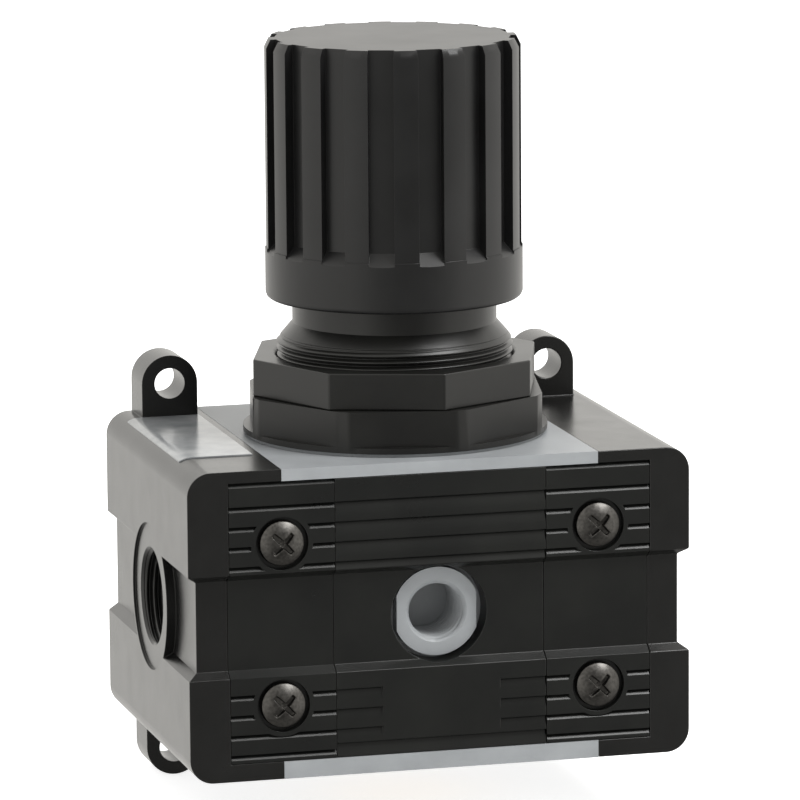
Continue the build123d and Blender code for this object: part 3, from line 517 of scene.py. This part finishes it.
# Studio walls as the glossy surfaces see them: strengths, and the dim end's direction,
# its inner and outer angles in degrees, and what makes it taller than wide
LIGHT_STRENGTH = 0.7
WALL_STRENGTH = 1.35
WALL_COLOUR = "#fffdf8"
DIM_STRENGTH = 0.33
DIM_END = (0.0, -1.0, 0.0)
DIM_SHAPE = (1.0, 1.0, 0.5)
DIM_INNER = 16.0
DIM_OUTER = 50.0


def floor():
    """White floor just under the lower lugs. The camera sees it nearly full white, and it
    keeps a faint shadow."""
    low = cad_box[0].z
    mesh = bpy.data.meshes.new("floor")
    shape = bmesh.new()
    bmesh.ops.create_circle(shape, cap_ends=True, segments=96, radius=6.0)
    shape.to_mesh(mesh)
    shape.free()
    piece = bpy.data.objects.new("floor", mesh)
    piece.location = (0, 0, low)
    bpy.context.scene.collection.objects.link(piece)
    material, tree, shader, place = new_material("white_paper_floor")
    set_shader(shader, Base_Color=linear("#f4f4f3"), Roughness=0.9, Specular_IOR_Level=0.0,
               Emission_Color=(1, 1, 1, 1))
    seen = add(tree, "Math", {0: add(tree, "LightPath").outputs["Is Camera Ray"],
                              1: FLOOR_LIFT}, operation="MULTIPLY")
    tree.links.new(seen.outputs[0], shader.inputs["Emission Strength"])
    piece.visible_glossy = False
    mesh.materials.append(material)


def studio_world():
    """Plain white studio. The camera sees full white. Glossy surfaces see large pale walls
    at the sides and the back, and the dim end of the room where the photographer stands."""
    world = bpy.data.worlds.new("studio")
    bpy.context.scene.world = world
    world.use_nodes = True
    tree = world.node_tree
    tree.nodes.clear()
    direction = add(tree, "TexCoord").outputs["Generated"]
    tall = add(tree, "VectorMath", {0: direction, 1: DIM_SHAPE}, operation="MULTIPLY")
    tall = add(tree, "VectorMath", {0: tall.outputs["Vector"]}, operation="NORMALIZE")
    front = add(tree, "VectorMath", {0: tall.outputs["Vector"], 1: DIM_END},
                operation="DOT_PRODUCT")
    walls = add(tree, "MapRange", {"Value": front.outputs["Value"],
                                   "From Min": math.cos(math.radians(DIM_OUTER)),
                                   "From Max": math.cos(math.radians(DIM_INNER)),
                                   "To Min": WALL_STRENGTH, "To Max": DIM_STRENGTH})
    height = add(tree, "SeparateXYZ", {"Vector": direction})
    below = add(tree, "MapRange", {"Value": height.outputs["Z"], "From Min": -0.75,
                                   "From Max": -0.25, "To Min": 0.35, "To Max": 1.0})
    walls = add(tree, "Math", {0: walls.outputs["Result"], 1: below.outputs["Result"]},
                operation="MULTIPLY")
    path = add(tree, "LightPath")
    mirrored = add(tree, "Math", {0: path.outputs["Is Glossy Ray"],
                                  1: path.outputs["Is Transmission Ray"]}, operation="MAXIMUM")
    light = add(tree, "Background", {"Strength": LIGHT_STRENGTH})
    white = add(tree, "Background", {"Strength": 1.0})
    studio = add(tree, "Background", {"Strength": walls.outputs[0]})
    for background in (light, white, studio):
        background.inputs["Color"].default_value = (1, 1, 1, 1)
    studio.inputs["Color"].default_value = linear(WALL_COLOUR)
    seen = add(tree, "MixShader", {0: path.outputs["Is Camera Ray"], 1: light.outputs[0],
                                   2: white.outputs[0]})
    mixed = add(tree, "MixShader", {0: mirrored.outputs[0], 1: seen.outputs[0],
                                    2: studio.outputs[0]})
    add(tree, "OutputWorld", {"Surface": mixed.outputs[0]})


def soft_box(name, place, size, power):
    """A large soft lamp that faces the part."""
    data = bpy.data.lights.new(name, "AREA")
    data.shape = "RECTANGLE"
    data.size, data.size_y = size
    data.energy = power
    lamp = bpy.data.objects.new(name, data)
    lamp.location = place
    aim = Vector((0, -40 * MM, 20 * MM)) - Vector(place)
    lamp.rotation_mode = "QUATERNION"
    lamp.rotation_quaternion = aim.to_track_quat("-Z", "Y")
    bpy.context.scene.collection.objects.link(lamp)


def camera():
    """Camera at the photograph's place, with its slight roll."""
    back = Vector((math.sin(AZIMUTH) * math.cos(ELEVATION),
                   -math.cos(AZIMUTH) * math.cos(ELEVATION), math.sin(ELEVATION)))
    level_right = (-back).cross(Vector((0, 0, 1))).normalized()
    level_up = level_right.cross(-back)
    right = level_right * math.cos(ROLL) + level_up * math.sin(ROLL)
    up = level_up * math.cos(ROLL) - level_right * math.sin(ROLL)
    data = bpy.data.cameras.new("camera")
    data.sensor_width = SENSOR_WIDTH
    data.lens = LENS
    eye = bpy.data.objects.new("camera", data)
    turn = Matrix((right, up, back)).transposed()
    eye.matrix_world = Matrix.Translation(TARGET + back * DISTANCE) @ turn.to_4x4()
    bpy.context.scene.collection.objects.link(eye)
    bpy.context.scene.camera = eye


dress_nodes()
for casting, edge_mm in (("main_body", 0.25), ("left_end_plate", 0.45),
                         ("right_end_plate", 0.45)):
    threaded_casting(casting, edge_mm)
bonnet_shell()
neck_thread()
clamp_screws()
floor()
studio_world()
soft_box("key", (0.75, -0.65, 1.25), (0.7, 0.7), 19.0)
camera()
bpy.context.scene.view_settings.view_transform = "Standard"
